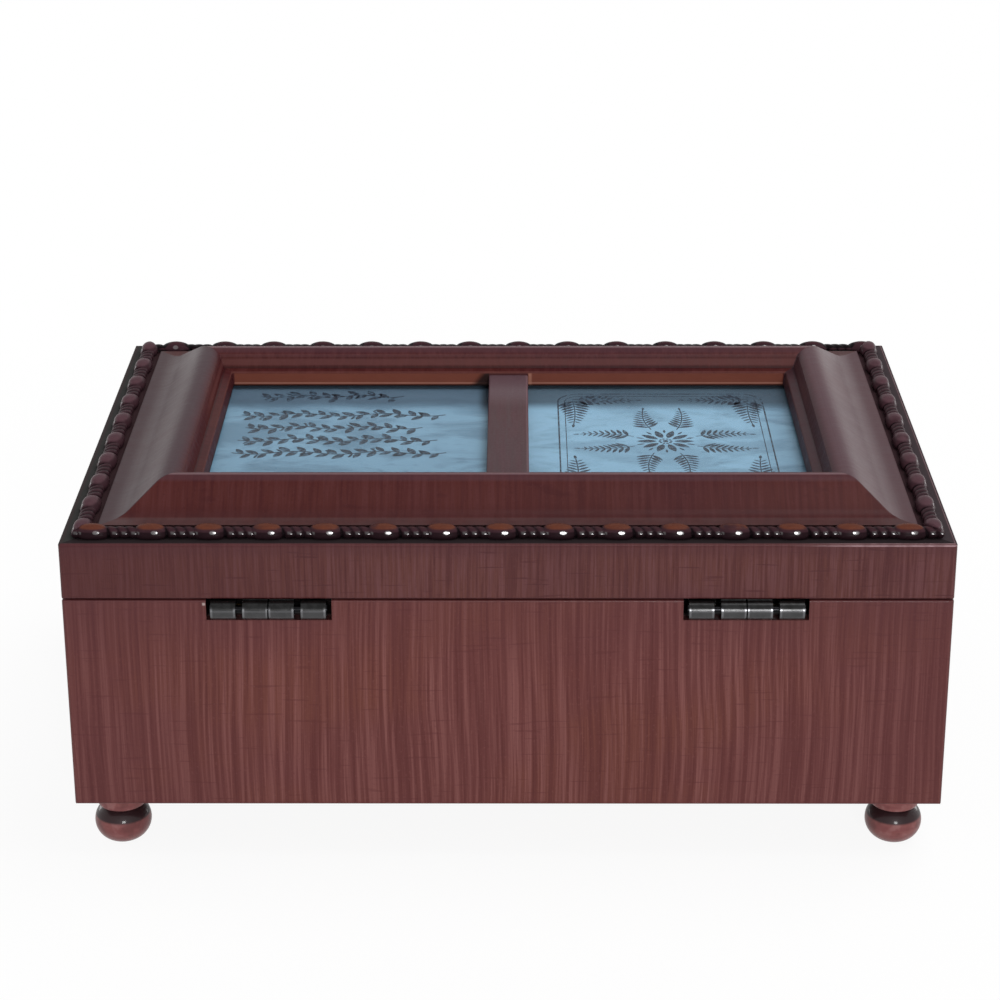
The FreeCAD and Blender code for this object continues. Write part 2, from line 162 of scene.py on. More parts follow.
class KeepsakeRope(bpy.types.PropertyGroup):
    pitch: length_setting("Pitch", "From one large bead to the next", 16.55 * MM)
    bead_length: length_setting("Bead length", "Length of a large bead", 8.4 * MM)
    rib_radius: length_setting("Rib radius", "Radius of the small ribs", 1.6 * MM)
    core_radius: length_setting("Core radius", "Radius in the hollows", 1.15 * MM)
    slant: length_setting("Slant", "How far a rib shifts from its outer to its inner end", 2.2 * MM)
    front_shift: length_setting("Front shift", "Large bead nearest to the front's middle", -3.5 * MM)
    rear_shift: length_setting("Rear shift", "Large bead nearest to the back's middle", -2.0 * MM)
    flat: share_setting("Flat", "How much the outer side of a large bead is flattened", 0.18)
    width_share: number_setting(
        "Width share", "Width of the trim over its height", 1.2, min=1.0, max=1.4)
    front_height: share_setting("Front height", "Height of the front trim over the other sides", 0.76)
    step: length_setting("Step", "Spacing of the mesh along the trim", 0.3 * MM)


class KeepsakeGlazing(bpy.types.PropertyGroup):
    paper: colour_setting("Paper", "Pale wash of the printed cards", 152, 197, 226)
    paper_dark: colour_setting("Paper lows", "Deeper wash of the printed cards", 98, 132, 156)
    ink: colour_setting("Ink", "Printed ornament", 34, 46, 62)
    glass_haze: share_setting("Glass haze", "How much the panes veil what is under them", 0.05)
    paper_thickness: length_setting("Paper thickness", "Thickness of a printed card", 0.34 * MM)
    ink_thickness: length_setting("Ink thickness", "How far the print stands up", 0.03 * MM)


class KeepsakeSoft(bpy.types.PropertyGroup):
    velvet: colour_setting("Velvet", "Main colour of the linings", 104, 22, 34)
    velvet_dark: colour_setting("Velvet lows", "Where the pile is brushed away", 58, 10, 20)
    edge: length_setting("Rolled edge", "Radius of the padded edges", 0.5 * MM)
    rumple: length_setting("Rumple", "How far the padding sinks between its edges", 0.12 * MM)


class KeepsakeMetal(bpy.types.PropertyGroup):
    # The two hinge colours make a painted reflection, paler below the barrels' axis and darker above it
    steel: colour_setting("Steel", "Burnished lower part of the hinges", 72, 72, 73)
    steel_dark: colour_setting("Blued steel", "Dark part of the hinges", 34, 34, 34)
    brass: colour_setting("Brass", "Screws", 176, 142, 84)


class KeepsakeStage(bpy.types.PropertyGroup):
    ambient: number_setting("Ambient", "Strength of the light from all round", 0.5, min=0.0)
    key_power: power_setting("Key power", "Power of the key lamp", 40.0)
    fill_power: power_setting("Fill power", "Power of the large fill lamp", 32.0)
    front_power: power_setting("Front power", "Power of each front lamp", 11.0)
    floor_size: length_setting("Floor size", "Side of the square floor", 12.0)


class KeepsakeSettings(bpy.types.PropertyGroup):
    wood: group_setting("Wood", "Stains", KeepsakeWood)
    rope: group_setting("Rope trim", "Sizes of the trim", KeepsakeRope)
    glazing: group_setting("Glazing", "Cards and panes", KeepsakeGlazing)
    soft: group_setting("Linings", "Velvet linings", KeepsakeSoft)
    metal: group_setting("Metal", "Hinges and screws", KeepsakeMetal)
    stage: group_setting("Stage", "Floor and light", KeepsakeStage)


# ---- Shader expressions


def math_method(operation, swapped=False):
    """A method for one of Python's operators, which adds a Math node."""

    def method(self, *others):
        terms = (*others, self) if swapped else (self, *others)
        return self.tree.maths(operation, *terms)

    return method


class Value:
    """A socket of a shader tree. Python's operators on it add Math nodes."""

    def __init__(self, tree, socket):
        self.tree = tree
        self.socket = socket

    __add__ = math_method("ADD")
    __radd__ = math_method("ADD", swapped=True)
    __sub__ = math_method("SUBTRACT")
    __rsub__ = math_method("SUBTRACT", swapped=True)
    __mul__ = math_method("MULTIPLY")
    __rmul__ = math_method("MULTIPLY", swapped=True)
    __truediv__ = math_method("DIVIDE")
    __pow__ = math_method("POWER")
    __abs__ = math_method("ABSOLUTE")

    def larger(self, other):
        return self.tree.maths("MAXIMUM", self, other)

    def rise(self, start, end):
        """A smooth step from 0 at start to 1 at end."""
        settings = {"interpolation_type": "SMOOTHSTEP"}
        return self.tree.get("ShaderNodeMapRange", settings, {0: self, 1: start, 2: end})

    def step(self, start, end, level=0.0):
        """A smooth step of a length, from start to end in millimetres from a level."""
        return self.rise(level + start * MM, level + end * MM)

    def span(self, start, full, waning, end, level=0.0):
        """1 between full and waning, falling to 0 at start and at end, given as step takes them."""
        return self.step(start, full, level) * self.step(end, waning, level)

    def near(self, middle, reach):
        """1 at middle, falling to 0 at that many millimetres from it."""
        return abs(self - middle).step(reach, reach * 0.3)


class ShaderTree:
    """The node tree of a material or of the world, filled from expressions."""

    def __init__(self, owner):
        owner.use_nodes = True
        self.owner = owner
        self.nodes = owner.node_tree.nodes
        self.links = owner.node_tree.links
        self.nodes.clear()

    def add(self, kind, settings=None, inputs=None):
        """A node of that type: its settings first, then the values or links of its sockets."""
        node = self.nodes.new(kind)
        for key, value in (settings or {}).items():
            setattr(node, key, value)
        for key, value in (inputs or {}).items():
            if isinstance(value, Value):
                self.links.new(value.socket, node.inputs[key])
            else:
                node.inputs[key].default_value = value
        return node

    def get(self, kind, settings=None, inputs=None, output=0):
        return Value(self, self.add(kind, settings, inputs).outputs[output])

    def maths(self, operation, *terms):
        return self.get("ShaderNodeMath", {"operation": operation}, dict(enumerate(terms)))

    def opaque(self, colour):
        return colour if isinstance(colour, Value) else (*colour[:3], 1.0)

    def mix(self, share, first, second):
        """One colour turning into another as share goes from 0 to 1."""
        inputs = {0: share, 6: self.opaque(first), 7: self.opaque(second)}
        return self.get("ShaderNodeMix", {"data_type": "RGBA"}, inputs, 2)

    def paint(self, base, *coats):
        """A colour with others laid over it in turn, each given as its share and the colour."""
        for share, colour in coats:
            base = self.mix(share, base, colour)
        return base

    def vector(self, x, y, z):
        return self.get("ShaderNodeCombineXYZ", None, {0: x, 1: y, 2: z})

    def place(self):
        """The point's place in the frame at rest."""
        return self.get("ShaderNodeTexCoord", None, None, "Object")

    def split_place(self):
        node = self.add("ShaderNodeSeparateXYZ", None, {0: self.place()})
        return [Value(self, node.outputs[i]) for i in range(3)]

    def noise(self, vector, scale=1.0, detail=2.0, roughness=0.5, distortion=0.0):
        inputs = {
            "Vector": vector,
            "Scale": scale,
            "Detail": detail,
            "Roughness": roughness,
            "Distortion": distortion,
        }
        return self.get("ShaderNodeTexNoise", None, inputs, "Fac")

    def grain(self, scale, detail=2.0, **more):
        """Noise over the point's place, with that many cells to a metre."""
        return self.noise(self.place(), scale=scale, detail=detail, **more)

    def bump(self, height, depth, strength=0.5):
        """A normal for dents of that many millimetres."""
        inputs = {"Height": height, "Distance": depth * MM, "Strength": strength}
        return self.get("ShaderNodeBump", None, inputs)

    def principled(self, base, rough, normal, more):
        inputs = {"Base Color": base, "Roughness": rough, **more}
        if normal is not None:
            inputs["Normal"] = normal
        return self.get("ShaderNodeBsdfPrincipled", None, inputs)

    def output(self, shader):
        """Ends the tree with that shader, and returns the material or world that it belongs to."""
        kind = "World" if isinstance(self.owner, bpy.types.World) else "Material"
        self.add(f"ShaderNodeOutput{kind}", None, {"Surface": shader})
        return self.owner

    def finish(self, base, rough, normal, more):
        """Ends the tree with one principled shader, and returns the material."""
        return self.output(self.principled(base, rough, normal, more))


def new_material(name):
    return ShaderTree(bpy.data.materials.new(name))


def mitred_place(tree):
    """Where a point is: x, y and z in the frame; along the nearest side of the box; in from its
    outer face; the number of that side; and 1 on the left and right sides, 0 on the long ones."""
    x, y, z = tree.split_place()
    from_end = HALF_WIDTH - abs(x)
    from_long = HALF_DEPTH - abs(y - MIDDLE_Y)
    on_long = tree.maths("LESS_THAN", from_long, from_end)
    inward = tree.maths("MINIMUM", from_end, from_long)
    along = y + (x - y) * on_long
    side = on_long * 3.0 + tree.maths("SIGN", (x + (y - MIDDLE_Y - x) * on_long))
    on_end = tree.maths("GREATER_THAN", from_long, inward + HAIR)
    return x, y, z, along, inward, side, on_end


def brushed_lines(tree, along, run, seed, spacing, length, lean):
    """Streaks of a faux grain: noise squeezed across the strokes and drawn out along them."""
    drift = tree.noise(tree.vector(along * 22.0, run * 16.0, seed), detail=1.0)
    across = (along + (drift - 0.5) * lean) / spacing
    return tree.noise(tree.vector(across, run / length, seed))


def stained_wood(name, wood, colours, gloss=1.0, spacing=1.5, length=52.0, lean=7.0, cross=0.35,
                 strength=1.0, index=1.25, coat_rough=0.15, shade=None):
    """Dark stained wood with brushed streaks, a few lines across them, pores, wear and lacquer.

    Spacing, length and lean of the streaks are in millimetres. shade(tree, wood, base, coat, point)
    may change the colour and the lacquer, and says where the wood is bare.
    """
    tree = new_material(name)
    main, light, dark, warm = colours
    point = mitred_place(tree)
    _, _, z, along, inward, side, _ = point
    run = z - inward
    # Every side has its own seeds, so that no streak runs on round a corner
    closer, shorter = 0.42, 0.6
    streak = brushed_lines(tree, along, run, side * 7.3, spacing * MM, length * MM, lean * MM)
    fine = brushed_lines(tree, along, run, side * 3.1 + 40.0, spacing * closer * MM,
                         length * shorter * MM, lean * MM)
    patch = tree.noise(tree.vector(along * 26.0, run * 11.0, side * 5.7))
    hue = tree.noise(tree.vector(along * 19.0, run * 30.0, side * 9.1 + 20.0), detail=3.0)
    thread = tree.noise(tree.vector(along * 62.0, run * 900.0, side + 80.0), detail=1.0)
    mottle = tree.grain(1100.0)
    pale = streak.rise(0.5, 0.62) * 0.6 + fine.rise(0.52, 0.64) * 0.34
    deep = streak.rise(0.49, 0.38) * 0.6 + fine.rise(0.46, 0.35) * 0.34
    across = thread.rise(0.64, 0.71) * cross
    base = tree.paint(
        main,
        (hue.rise(0.42, 0.62) * 0.75, warm),
        (patch.rise(0.3, 0.7) * 0.25 * strength, dark),
        (pale * strength, light),
        (deep * strength, dark),
        (across, dark),
        (mottle.rise(0.58, 0.75) * 0.25, light),
        (mottle.rise(0.42, 0.25) * 0.25, dark),
    )
    rough = 0.4 + (streak - 0.5) * 0.25 + (mottle - 0.5) * 0.2
    coat = wood.gloss * gloss * (0.8 + 0.4 * patch)
    bare = None
    if shade is not None:
        base, coat, bare = shade(tree, wood, base, coat, point)
    height = streak * 0.6 + fine * 0.25 - across * 0.5 + mottle * 0.12
    normal = tree.bump(height, 0.09, 0.6)
    lacquer = {"IOR": index, "Coat Weight": coat, "Coat Roughness": coat_rough}
    shader = tree.principled(base, rough, normal, lacquer)
    if bare is not None:
        flat = tree.principled(base, 0.85, normal, {"Specular IOR Level": 0.1})
        shader = tree.get("ShaderNodeMixShader", None, {0: bare, 1: shader, 2: flat})
    return tree.output(shader)


def wall_shade(tree, wood, base, coat, point):
    """Dark rims and ends, a pale chip at the seam, and painted shade in the cut-outs round the hinges.
    """
    x, y, z, _, inward, _, _ = point
    rear = y.step(0.0, 1.0)
    wear_and_highlight = tree.grain(260.0, 3.0)
    rim = z.step(1.6, 0.0, FOOT_TOP) + z.step(-1.2, 0.0, SEAM_Z)
    chip = x.near(86.5 * MM, 0.62) * z.near(SEAM_Z - 1.2 * MM, 0.62)
    chip = chip * rear * inward.step(1.0, 0.5)
    ends = abs(x).step(50, 125) + z.step(-26, 0, SEAM_Z) * 1.2
    # Painted shade in the cut-outs round the hinges
    mortise_shade = z.step(-3.6, -3.2, AXIS_Z) * inward.step(0.1, 0.5)
    mortise_shade = mortise_shade * rear * z.step(-0.02, -0.3, SEAM_Z)
    mortise_shade = mortise_shade * abs(abs(x) - HINGE_X).step(2.0, 1.8, HINGE_HALF)
    base = tree.paint(
        base,
        (rim * (0.35 + 0.4 * wear_and_highlight), wood.wall_dark),
        (chip * 0.85, tint(226, 206, 202)),
        (ends * 0.3, tint(76, 38, 42)),
        (mortise_shade * 0.95, tint(12, 8, 9)),
    )
    return base, coat, None


def rail_shade(tree, wood, base, coat, point):
    """Painted shade towards one end, dark glaze on the top, a painted highlight on the upper edge at
    one end, and dark lower edges.
    """
    x, _, z, _, inward, _, on_end = point
    wear_and_highlight = tree.grain(210.0, 3.0).rise(0.4, 0.56)
    dry = RAIL_TOP - (0.35 + 0.45 * on_end) * MM
    full = RAIL_TOP - (0.05 + 0.25 * on_end) * MM
    glaze = z.rise(dry, full) * on_end.larger(inward.step(0.35, 0.75))
    end_glaze = tree.mix(x.step(0, 40), tint(52, 45, 48), tint(42, 43, 42))
    hollow = glaze * inward.step(0.0, 1.5, ROPE_IN)
    # A painted highlight along the upper edge at one end
    edge_highlight = (z - inward).near(RAIL_TOP - 0.6 * MM, 0.3) * inward.step(0.75, 0.3)
    edge_highlight = edge_highlight * x.step(-78, -106) * (0.6 + 0.4 * wear_and_highlight)
    edge = (inward + RAIL_TOP - z).near(0.4 * MM, 0.9) * (1.0 - edge_highlight)
    base = tree.paint(
        base,
        # Painted shade: darker towards the +x end, the side away from the light
        (x.step(20, 125) * 0.6, wood.rail_dark),
        (z.step(-5.5, -1.5, RAIL_TOP) * 0.35, tint(66, 32, 38)),
        (glaze * 0.96, tree.mix(on_end, wood.glaze, end_glaze)),
        (hollow * 0.8, tint(44, 20, 25)),
        (edge_highlight * 0.8, tint(158, 128, 132)),
        (z.step(1.0, 0.0, LID_BASE) * 0.6, wood.rail_dark),
        (edge * 0.2, tint(64, 36, 40)),
    )
    return base, coat, glaze.larger(edge * 0.6)


def moulding_shade(tree, wood, base, coat, point):
    """The profile's dark lines and its painted highlights, sheen and shade, the rubbed inner face of
    the front with a painted shadow and painted highlights by the centre bar, and the dull ends with a
    painted sheen.
    """
    x, y, z, _, inward, _, on_end = point
    smudge = tree.grain(150.0, 3.0)
    front = y.step(0, -20)
    right = x.step(0, 40)
    foot = z.step(1.6, 1.3, RAIL_TOP) * inward.step(0.6, 0.1, FOOT_IN)
    root = inward.span(4.4, 5.6, 6, 10, FOOT_IN)
    # A painted sheen along the foot of the ogee
    foot_sheen = inward.span(-0.1, 0.1, 4.2, 5.4, FOOT_IN)
    slope = inward.span(11.5, 16.5, 22.5, 28)
    brow = z.step(-1.3, -0.5, CROWN_Z)
    # A painted highlight along the crown of the long sides
    crest = inward.near(CROWN_IN, 0.9) * brow * (1.0 - on_end)
    # A painted highlight along the nose
    nose_highlight = inward.near(NOSE_IN, 0.4) * z.step(2.5, 3.5, LEDGE_Z)
    # Painted light: the lower part of the front's inner wall is made lighter
    lower = inward.step(0.2, 0.6, NOSE_IN) * z.span(0.6, 1.2, 2.4, 3.6, LEDGE_Z)
    # Painted shade in the crease at the foot of the inner wall
    ledge_shade = inward.near(LEDGE_IN, 0.42) * z.step(0.8, 0.3, LEDGE_Z)
    # A painted highlight on the outer edge of the ledge
    edge = inward.near(SIGHT_IN - 0.85 * MM, 0.4) * z.step(-1.2, -0.8, LEDGE_Z)
    # Painted shade at the sight edge, next to the glass
    sight_shade = z.step(0.6, 0.35, GLASS_TOP)
    face = inward.step(-0.6, -0.48, SIGHT_IN) * front
    face = face * tree.maths("LESS_THAN", abs(x), HALF_WIDTH - SIGHT_IN)
    rubbed = face * (0.8 + 0.3 * smudge)
    # A painted highlight line on the front's inner face
    face_highlight = rubbed * z.near(GLASS_TOP + 0.95 * MM, 0.35)
    bar = face * abs(x).step(0.3, -0.1, BAR_HALF)
    # A painted shadow beside the centre bar, and below it a painted highlight on the bar's other side
    muntin_shadow = (x + (z - GLASS_TOP) * 0.85).step(7.0, 4.0, BAR_HALF)
    muntin_shadow = muntin_shadow * x.step(-0.1, 0.1, BAR_HALF) * face
    lit = x.near(-BAR_HALF - 0.7 * MM, 0.8) * face
    # A painted sheen on the outer slopes of the two ends
    outer = on_end * inward.rise(NOSE_IN, CROWN_IN)
    inner = on_end * inward.rise(CROWN_IN + 1 * MM, NOSE_IN) * (1.0 - right)
    base = tree.paint(
        base,
        (foot * 0.8, wood.rope_dark),
        (nose_highlight * 0.14, tint(124, 88, 90)),
        (lower * front * 0.55, tint(98, 58, 56)),
        (root * 0.4, wood.moulding_dark),
        (brow * 0.4, tint(74, 50, 58)),
        (crest * 0.3, tint(150, 124, 130)),
        (foot_sheen * (0.2 + 0.5 * smudge), tint(78, 60, 61)),
        (ledge_shade * 0.4, tint(24, 13, 15)),
        (edge * 0.3, tint(110, 70, 64)),
        (rubbed, wood.inner),
        (face_highlight * 0.5, tint(166, 120, 104)),
        (bar * 0.9, tint(58, 31, 35)),
        (muntin_shadow * 0.9, tint(14, 13, 15)),
        (lit * 0.5, tint(170, 122, 104)),
        (sight_shade * 0.9, tint(16, 11, 13)),
        (outer * 0.55, tree.mix(right, tint(88, 70, 76), tint(68, 62, 66))),
        (inner * 0.6, tint(52, 42, 48)),
    )
    shine = slope * (0.08 + (0.44 - 0.16 * right) * on_end) * (0.8 + 0.4 * smudge)
    return base, coat * 0.5 + shine, None


def bar_shade(tree, wood, base, coat, point):
    """A painted reflection that makes the far end paler and greyer, and a painted highlight in a thin
    pale line along one edge.
    """
    y, along = point[1], point[3]
    base = tree.paint(
        base,
        # Painted reflection: the far end is greyer
        (y.step(-16, -34) * 0.8, tint(88, 68, 74)),
        # A painted highlight along one edge
        (along.near(-6.0 * MM, 0.5) * 0.22, tint(140, 106, 112)),
    )
    return base, coat, None


# ---- Meshes


def place_object(name, data):
    """An object for a mesh, a lamp or a camera, in the scene."""
    placed = bpy.data.objects.new(name, data)
    bpy.context.scene.collection.objects.link(placed)
    return placed


def finish_mesh(name, bm, material, body, smooth=True):
    """An object from a bmesh, with its material, riding on a body."""
    bmesh.ops.recalc_face_normals(bm, faces=bm.faces)
    mesh = bpy.data.meshes.new(name)
    for face in bm.faces:
        face.smooth = smooth
    bm.to_mesh(mesh)
    bm.free()
    piece = place_object(name, mesh)
    mesh.materials.append(material)
    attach(piece, body)
    return piece


def dress(node_names, material):
    """Gives CAD nodes a material in place of their own."""
    for name in node_names:
        materials = nodes[name].data.materials
        materials.clear()
        materials.append(material)


def box_mesh(low, high):
    """A bmesh with one box between two corners."""
    bm = bmesh.new()
    bmesh.ops.create_cube(bm, size=1.0)
    for vert in bm.verts:
        vert.co = Vector([low[i] + (vert.co[i] + 0.5) * (high[i] - low[i]) for i in range(3)])
    return bm


def everything(bm):
    return bm.verts[:] + bm.edges[:] + bm.faces[:]


def join_rings(bm, before, after):
    """A band of faces between two closed rings of vertices."""
    for i in range(len(before)):
        j = (i + 1) % len(before)
        bm.faces.new((before[i], before[j], after[j], after[i]))


def side_reach(side):
    """Half the length of a side of the box, and how far out its face is."""
    return (HALF_WIDTH, HALF_DEPTH) if side in ("front", "rear") else (HALF_DEPTH, HALF_WIDTH)


def side_matrix(side):
    """From a side's own place, where x runs along and y runs in from its outer face, to the frame."""
    turn = Matrix.Rotation(math.radians(90.0 * SIDES.index(side)), 4, "Z")
    out = Matrix.Translation((0.0, -side_reach(side)[1], 0.0))
    return Matrix.Translation((0.0, MIDDLE_Y, 0.0)) @ turn @ out


# The rope trim's shape and mesh
ROPE_RIBS = 3  # between two large beads
RIB_SHARE = 0.56  # half length of a rib over its room, so that neighbours meet
BEAD_SLANT = 0.35  # slant of a large bead over that of a rib
SWELL_POWER = 0.55  # a half would make a bead an ellipse
DIP_ANGLE = 0.32  # where the outer side of a bead is flattest, and how far that reaches
HOLLOW_WIDER = 0.3
HOLLOW_LOWER = 0.45
ROPE_LOWEST = math.radians(-66.0)  # where its round outline ends, below the top of the rail
ROPE_ROWS = 24
ROPE_SPARE = 4  # columns past each mitre, which are cut off


def rope_pieces(rope, first, last):
    """Middle, half length, radius and slant of each bead and rib between two places."""
    rib_length = (rope.pitch - rope.bead_length) / ROPE_RIBS
    found = []
    bead = first
    while bead < last + rope.pitch:
        found.append((bead, rope.bead_length / 2.0, ROPE_RADIUS, rope.slant * BEAD_SLANT))
        for rib in range(ROPE_RIBS):
            middle = bead + rope.bead_length / 2.0 + (rib + 0.5) * rib_length
            found.append((middle, rib_length * RIB_SHARE, rope.rib_radius, rope.slant))
        bead += rope.pitch
    return found


def rope_radius_at(rope, beads, along, angle):
    """Radius of the trim at a place along it; the angle is 0 outward and a quarter turn upward."""
    best = rope.core_radius
    dip = rope.flat * math.exp(-((angle / DIP_ANGLE - 1.0) ** 2))
    for middle, half, radius, slant in beads:
        share = (along - middle - 0.5 * slant * math.cos(angle)) / half
        if abs(share) < 1.0:
            crest = radius * (1.0 - dip) if radius > rope.rib_radius else radius
            swell = (crest - rope.core_radius) * (1.0 - share * share) ** SWELL_POWER
            best = max(best, rope.core_radius + swell)
    return best


def rope_ring(side, rope, beads, along):
    """The trim's outline at a place along a side. It is wider and lower where it is hollow."""
    close = [b for b in beads if abs(b[0] - along) < rope.pitch]
    ring = []
    for row in range(ROPE_ROWS + 1):
        angle = ROPE_LOWEST + (math.pi - 2.0 * ROPE_LOWEST) * row / ROPE_ROWS
        radius = rope_radius_at(rope, close, along, angle)
        hollow = (ROPE_RADIUS - radius) / (ROPE_RADIUS - rope.core_radius)
        wide = rope.width_share + HOLLOW_WIDER * hollow
        tall = rope.front_height * (1.0 - HOLLOW_LOWER * hollow) if side == "front" else 1.0
        height = max(ROPE_Z + tall * radius * math.sin(angle), RAIL_TOP)
        ring.append((along, ROPE_IN - wide * radius * math.cos(angle), height))
    return ring


def rope_trim(side, rope, material):
    """Round trim of large beads with slanted ribs between, flat below and mitred at the corners."""
    half = side_reach(side)[0]
    shifts = {"front": rope.front_shift, "rear": rope.rear_shift}
    shift = shifts.get(side, rope.pitch / 2.0)
    first = shift - math.ceil((half + shift) / rope.pitch + 1.0) * rope.pitch
    beads = rope_pieces(rope, first, half)
    columns = int(round(2.0 * half / rope.step)) + 2 * ROPE_SPARE
    start = -half - ROPE_SPARE * rope.step
    bm = bmesh.new()
    rings = []
    for column in range(columns + 1):
        ring = rope_ring(side, rope, beads, start - 2.0 * start * column / columns)
        rings.append([bm.verts.new(point) for point in ring])
    for before, after in zip(rings, rings[1:]):
        join_rings(bm, before, after)
    for end in (-1.0, 1.0):
        cut = bmesh.ops.bisect_plane(
            bm, geom=everything(bm), plane_co=(end * half, 0.0, 0.0), plane_no=(end, 1.0, 0.0),
            clear_outer=True)
        rim = [e for e in cut["geom_cut"] if isinstance(e, bmesh.types.BMEdge)]
        bmesh.ops.edgenet_fill(bm, edges=rim)
    bm.transform(side_matrix(side))
    piece = finish_mesh(f"{side}_rope", bm, material, "lid")
    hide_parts(f"{side}_rope_trim")


def padded_board(name, node, material, body, soft):
    """A thin padded board with rolled edges, in the space of the node that it stands for."""
    low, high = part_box(node)
    size = high - low
    thin = min(range(3), key=lambda axis: size[axis])
    broad = [axis for axis in range(3) if axis != thin]
    bm = box_mesh(low, high)
    cell = 9.0 * MM
    for axis in broad:
        count = int(size[axis] / cell)
        for step in range(1, count + 1):
            point = Vector()
            normal = Vector()
            point[axis] = low[axis] + size[axis] * step / (count + 1)
            normal[axis] = 1.0
            bmesh.ops.bisect_plane(bm, geom=everything(bm), plane_co=point, plane_no=normal)
    sharp = math.radians(60.0)
    rims = [e for e in bm.edges if len(e.link_faces) == 2 and e.calc_face_angle() > sharp]
    roll = min(soft.edge, size[thin] * 0.42)
    bmesh.ops.bevel(bm, geom=rims, offset=roll, segments=3, profile=0.6, affect="EDGES")
    centre = (low[thin] + high[thin]) / 2.0
    draw = random.Random(node)
    phase = [draw.uniform(0.0, 6.0) for _ in range(3)]
    for vert in bm.verts:
        inside = min(min(vert.co[i] - low[i], high[i] - vert.co[i]) for i in broad)
        if inside < 1.5 * soft.edge:
            continue
        # Waves of about 20 and 40 mm, given in radians to a metre
        u, v = [vert.co[i] for i in broad]
        wave = math.sin(u * 310.0 + phase[0]) * math.sin(v * 280.0 + phase[1])
        wave += 0.6 * math.sin(u * 120.0 + phase[2] + v * 150.0)
        sink = soft.rumple * (0.5 + 0.3 * wave)
        vert.co[thin] += sink if vert.co[thin] < centre else -sink
    piece = finish_mesh(name, bm, material, body)
    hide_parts(node)


# ---- Printed ornament


def around(middle, reach, heading):
    """The point at a distance and a heading in radians from another."""
    return middle[0] + reach * math.cos(heading), middle[1] + reach * math.sin(heading)


class Print:
    """Thin raised ink on a card, drawn as leaves, strokes and dots."""

    def __init__(self, base, thickness):
        self.bm = bmesh.new()
        self.base = base
        self.top = base + thickness

    def shape(self, outline):
        """Ink that fills a closed outline."""
        low = [self.bm.verts.new((x, y, self.base)) for x, y in outline]
        high = [self.bm.verts.new((x, y, self.top)) for x, y in outline]
        self.bm.faces.new(high)
        self.bm.faces.new(low[::-1])
        join_rings(self.bm, low, high)

    def leaf(self, foot, heading, length, width):
        """A pointed leaf from its foot towards a heading in radians, broadest near its foot."""
        outline = []
        steps = 7
        for side in (1.0, -1.0):
            for step in range(steps):
                share = step / steps if side > 0 else 1.0 - step / steps
                breadth = width * math.sin(math.pi * share) ** 0.8 * (1.0 - 0.25 * share) * side
                stem = around(foot, share * length, heading)
                outline.append(around(stem, breadth / 2.0, heading + math.pi / 2.0))
        self.shape(outline)

    def stroke(self, points, width):
        """A line of even width."""
        rings = []
        for index, (x, y) in enumerate(points):
            before = points[max(index - 1, 0)]
            after = points[min(index + 1, len(points) - 1)]
            dx, dy = after[0] - before[0], after[1] - before[1]
            share = width / 2.0 / math.hypot(dx, dy)
            left, right = (x - dy * share, y + dx * share), (x + dy * share, y - dx * share)
            ring = [(*left, self.top), (*right, self.top), (*right, self.base), (*left, self.base)]
            rings.append([self.bm.verts.new(point) for point in ring])
        for before, after in zip(rings, rings[1:]):
            join_rings(self.bm, before, after)
        self.bm.faces.new(rings[0][::-1])
        self.bm.faces.new(rings[-1])

    def dot(self, middle, radius, corners=10):
        turn = 2.0 * math.pi / corners
        self.shape([around(middle, radius, turn * i) for i in range(corners)])

    def finish(self, name, material):
        return finish_mesh(name, self.bm, material, "lid", smooth=False)


def garland(ink, left, right, middle, swing, seed):
    """A waving stem with leaves on both sides and berries between them."""
    draw = random.Random(seed)
    segment = 1.2 * MM
    waves = 2.5
    count = int((right - left) / segment)
    wave = []
    for i in range(count + 1):
        x = left + (right - left) * i / count
        wave.append((x, middle + swing * math.sin((x - left) / (right - left) * 2.0 * math.pi * waves)))
    ink.stroke(wave, 0.6 * MM)
    for i in range(2, count - 1, 2):
        x, y = wave[i]
        heading = math.atan2(wave[i + 1][1] - y, wave[i + 1][0] - x)
        way = 1.0 if (i // 2) % 2 else -1.0
        length = draw.uniform(4.4, 5.6) * MM
        ink.leaf((x, y), heading + way * draw.uniform(0.7, 0.95), length, length * 0.5)
        if i % 6 == 0:
            ink.leaf((x, y), heading - way * 1.1, length * 0.62, length * 0.2)
            ink.dot((x + 0.9 * MM, y - way * 2.6 * MM), 0.45 * MM)


def ruled_border(ink, middle, reach, deep, radius, width):
    """A ruled line round a panel with round corners."""
    corner_steps = 8
    points = []
    for turn, (way_x, way_y) in enumerate(((1.0, 1.0), (-1.0, 1.0), (-1.0, -1.0), (1.0, -1.0))):
        corner = (middle[0] + way_x * (reach - radius), middle[1] + way_y * (deep - radius))
        for step in range(corner_steps + 1):
            points.append(around(corner, radius, math.radians(90.0 * (turn + step / corner_steps))))
    ink.stroke(points + points[:1], width)


def rosette(ink, middle, radius, petals):
    """Petals that stand clear of each other, small ones between them and a ring of dots, all with
    sizes that are shares of the radius."""
    for i in range(petals):
        heading = 2.0 * math.pi * i / petals
        between = heading + math.pi / petals
        ink.leaf(around(middle, 0.3 * radius, heading), heading, radius * 0.7, radius * 0.3)
        ink.leaf(around(middle, 0.76 * radius, between), between, radius * 0.3, radius * 0.1)
        ink.dot(around(middle, 0.2 * radius, heading), radius * 0.05)
    ink.dot(middle, radius * 0.1)


